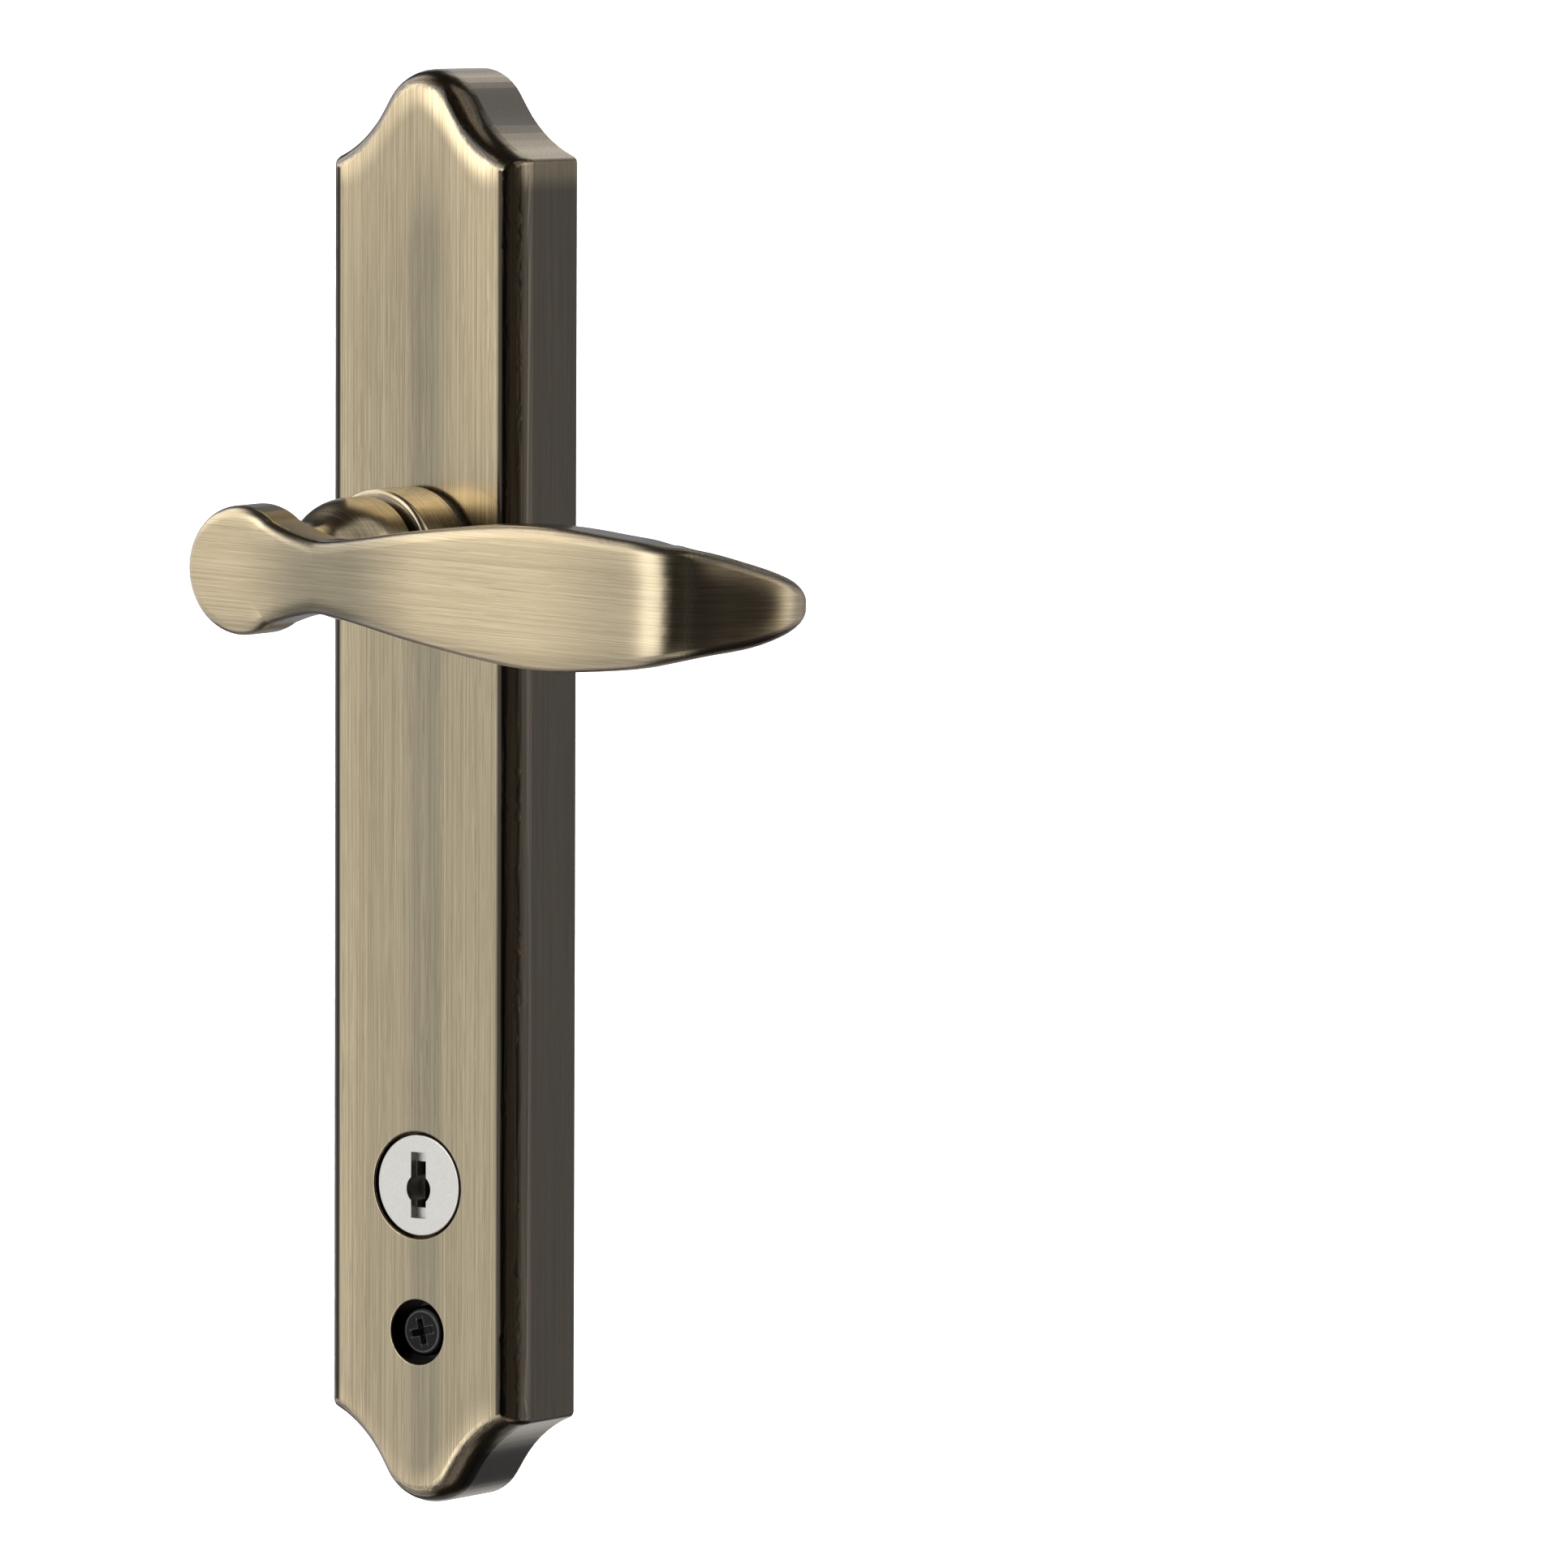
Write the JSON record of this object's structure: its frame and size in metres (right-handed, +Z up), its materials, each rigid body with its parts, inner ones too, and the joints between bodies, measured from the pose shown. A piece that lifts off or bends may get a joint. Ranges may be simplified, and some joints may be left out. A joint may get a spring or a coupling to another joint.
{
  "type": "storm door handle",
  "caption": "Outside half of a storm door handle: long hollow plate with ogee ends, cranked paddle lever that springs back, key cylinder and a recessed cross-head screw.",
  "frame": {"origin": "on the lever's turning axis, in the plane of the door's outside face", "axes": "+X towards the lever's tip, +Y into the door along the lever's axis, +Z up; the front faces -Y"},
  "size_m": [0.105, 0.0601, 0.216],
  "materials": {
    "antique_brass": "brushed antique brass under clear lacquer",
    "black_nylon": "moulded black nylon",
    "zinc_plated_steel": "zinc plated pressed steel",
    "spring_steel": "oiled spring steel",
    "bare_brass": "bare turned brass",
    "satin_nickel": "satin nickel plated",
    "black_steel": "black oxide steel"
  },
  "bodies": {
    "plate": {"escutcheon": "antique_brass", "hub_bushing": "black_nylon", "return_spring": "spring_steel", "cylinder_shell": "bare_brass", "cylinder_screw_top": "zinc_plated_steel", "cylinder_screw_bottom": "zinc_plated_steel", "face_screw": "black_steel"},
    "handle": {"lever": "antique_brass", "stop_plate": "zinc_plated_steel", "hub_washer": "zinc_plated_steel", "retaining_ring": "spring_steel"},
    "plug": {"cylinder_plug": "satin_nickel", "wafer_1": "bare_brass", "wafer_2": "bare_brass", "wafer_3": "bare_brass", "wafer_4": "bare_brass", "plug_clip": "spring_steel"}
  },
  "joints": [
    {"name": "lever_turn", "type": "hinge", "parent": "plate", "child": "handle", "pos_m": [0, 0, 0], "axis": [0, 1, 0], "range_deg": [0, 38], "stiffness_Nm_per_rad": 0.6, "springref_deg": -20.05, "deforming": ["return_spring"]},
    {"name": "plug_turn", "type": "hinge", "parent": "plate", "child": "plug", "pos_m": [0, 0, -0.09525], "axis": [0, 1, 0], "range_deg": [-90, 90]}
  ]
}
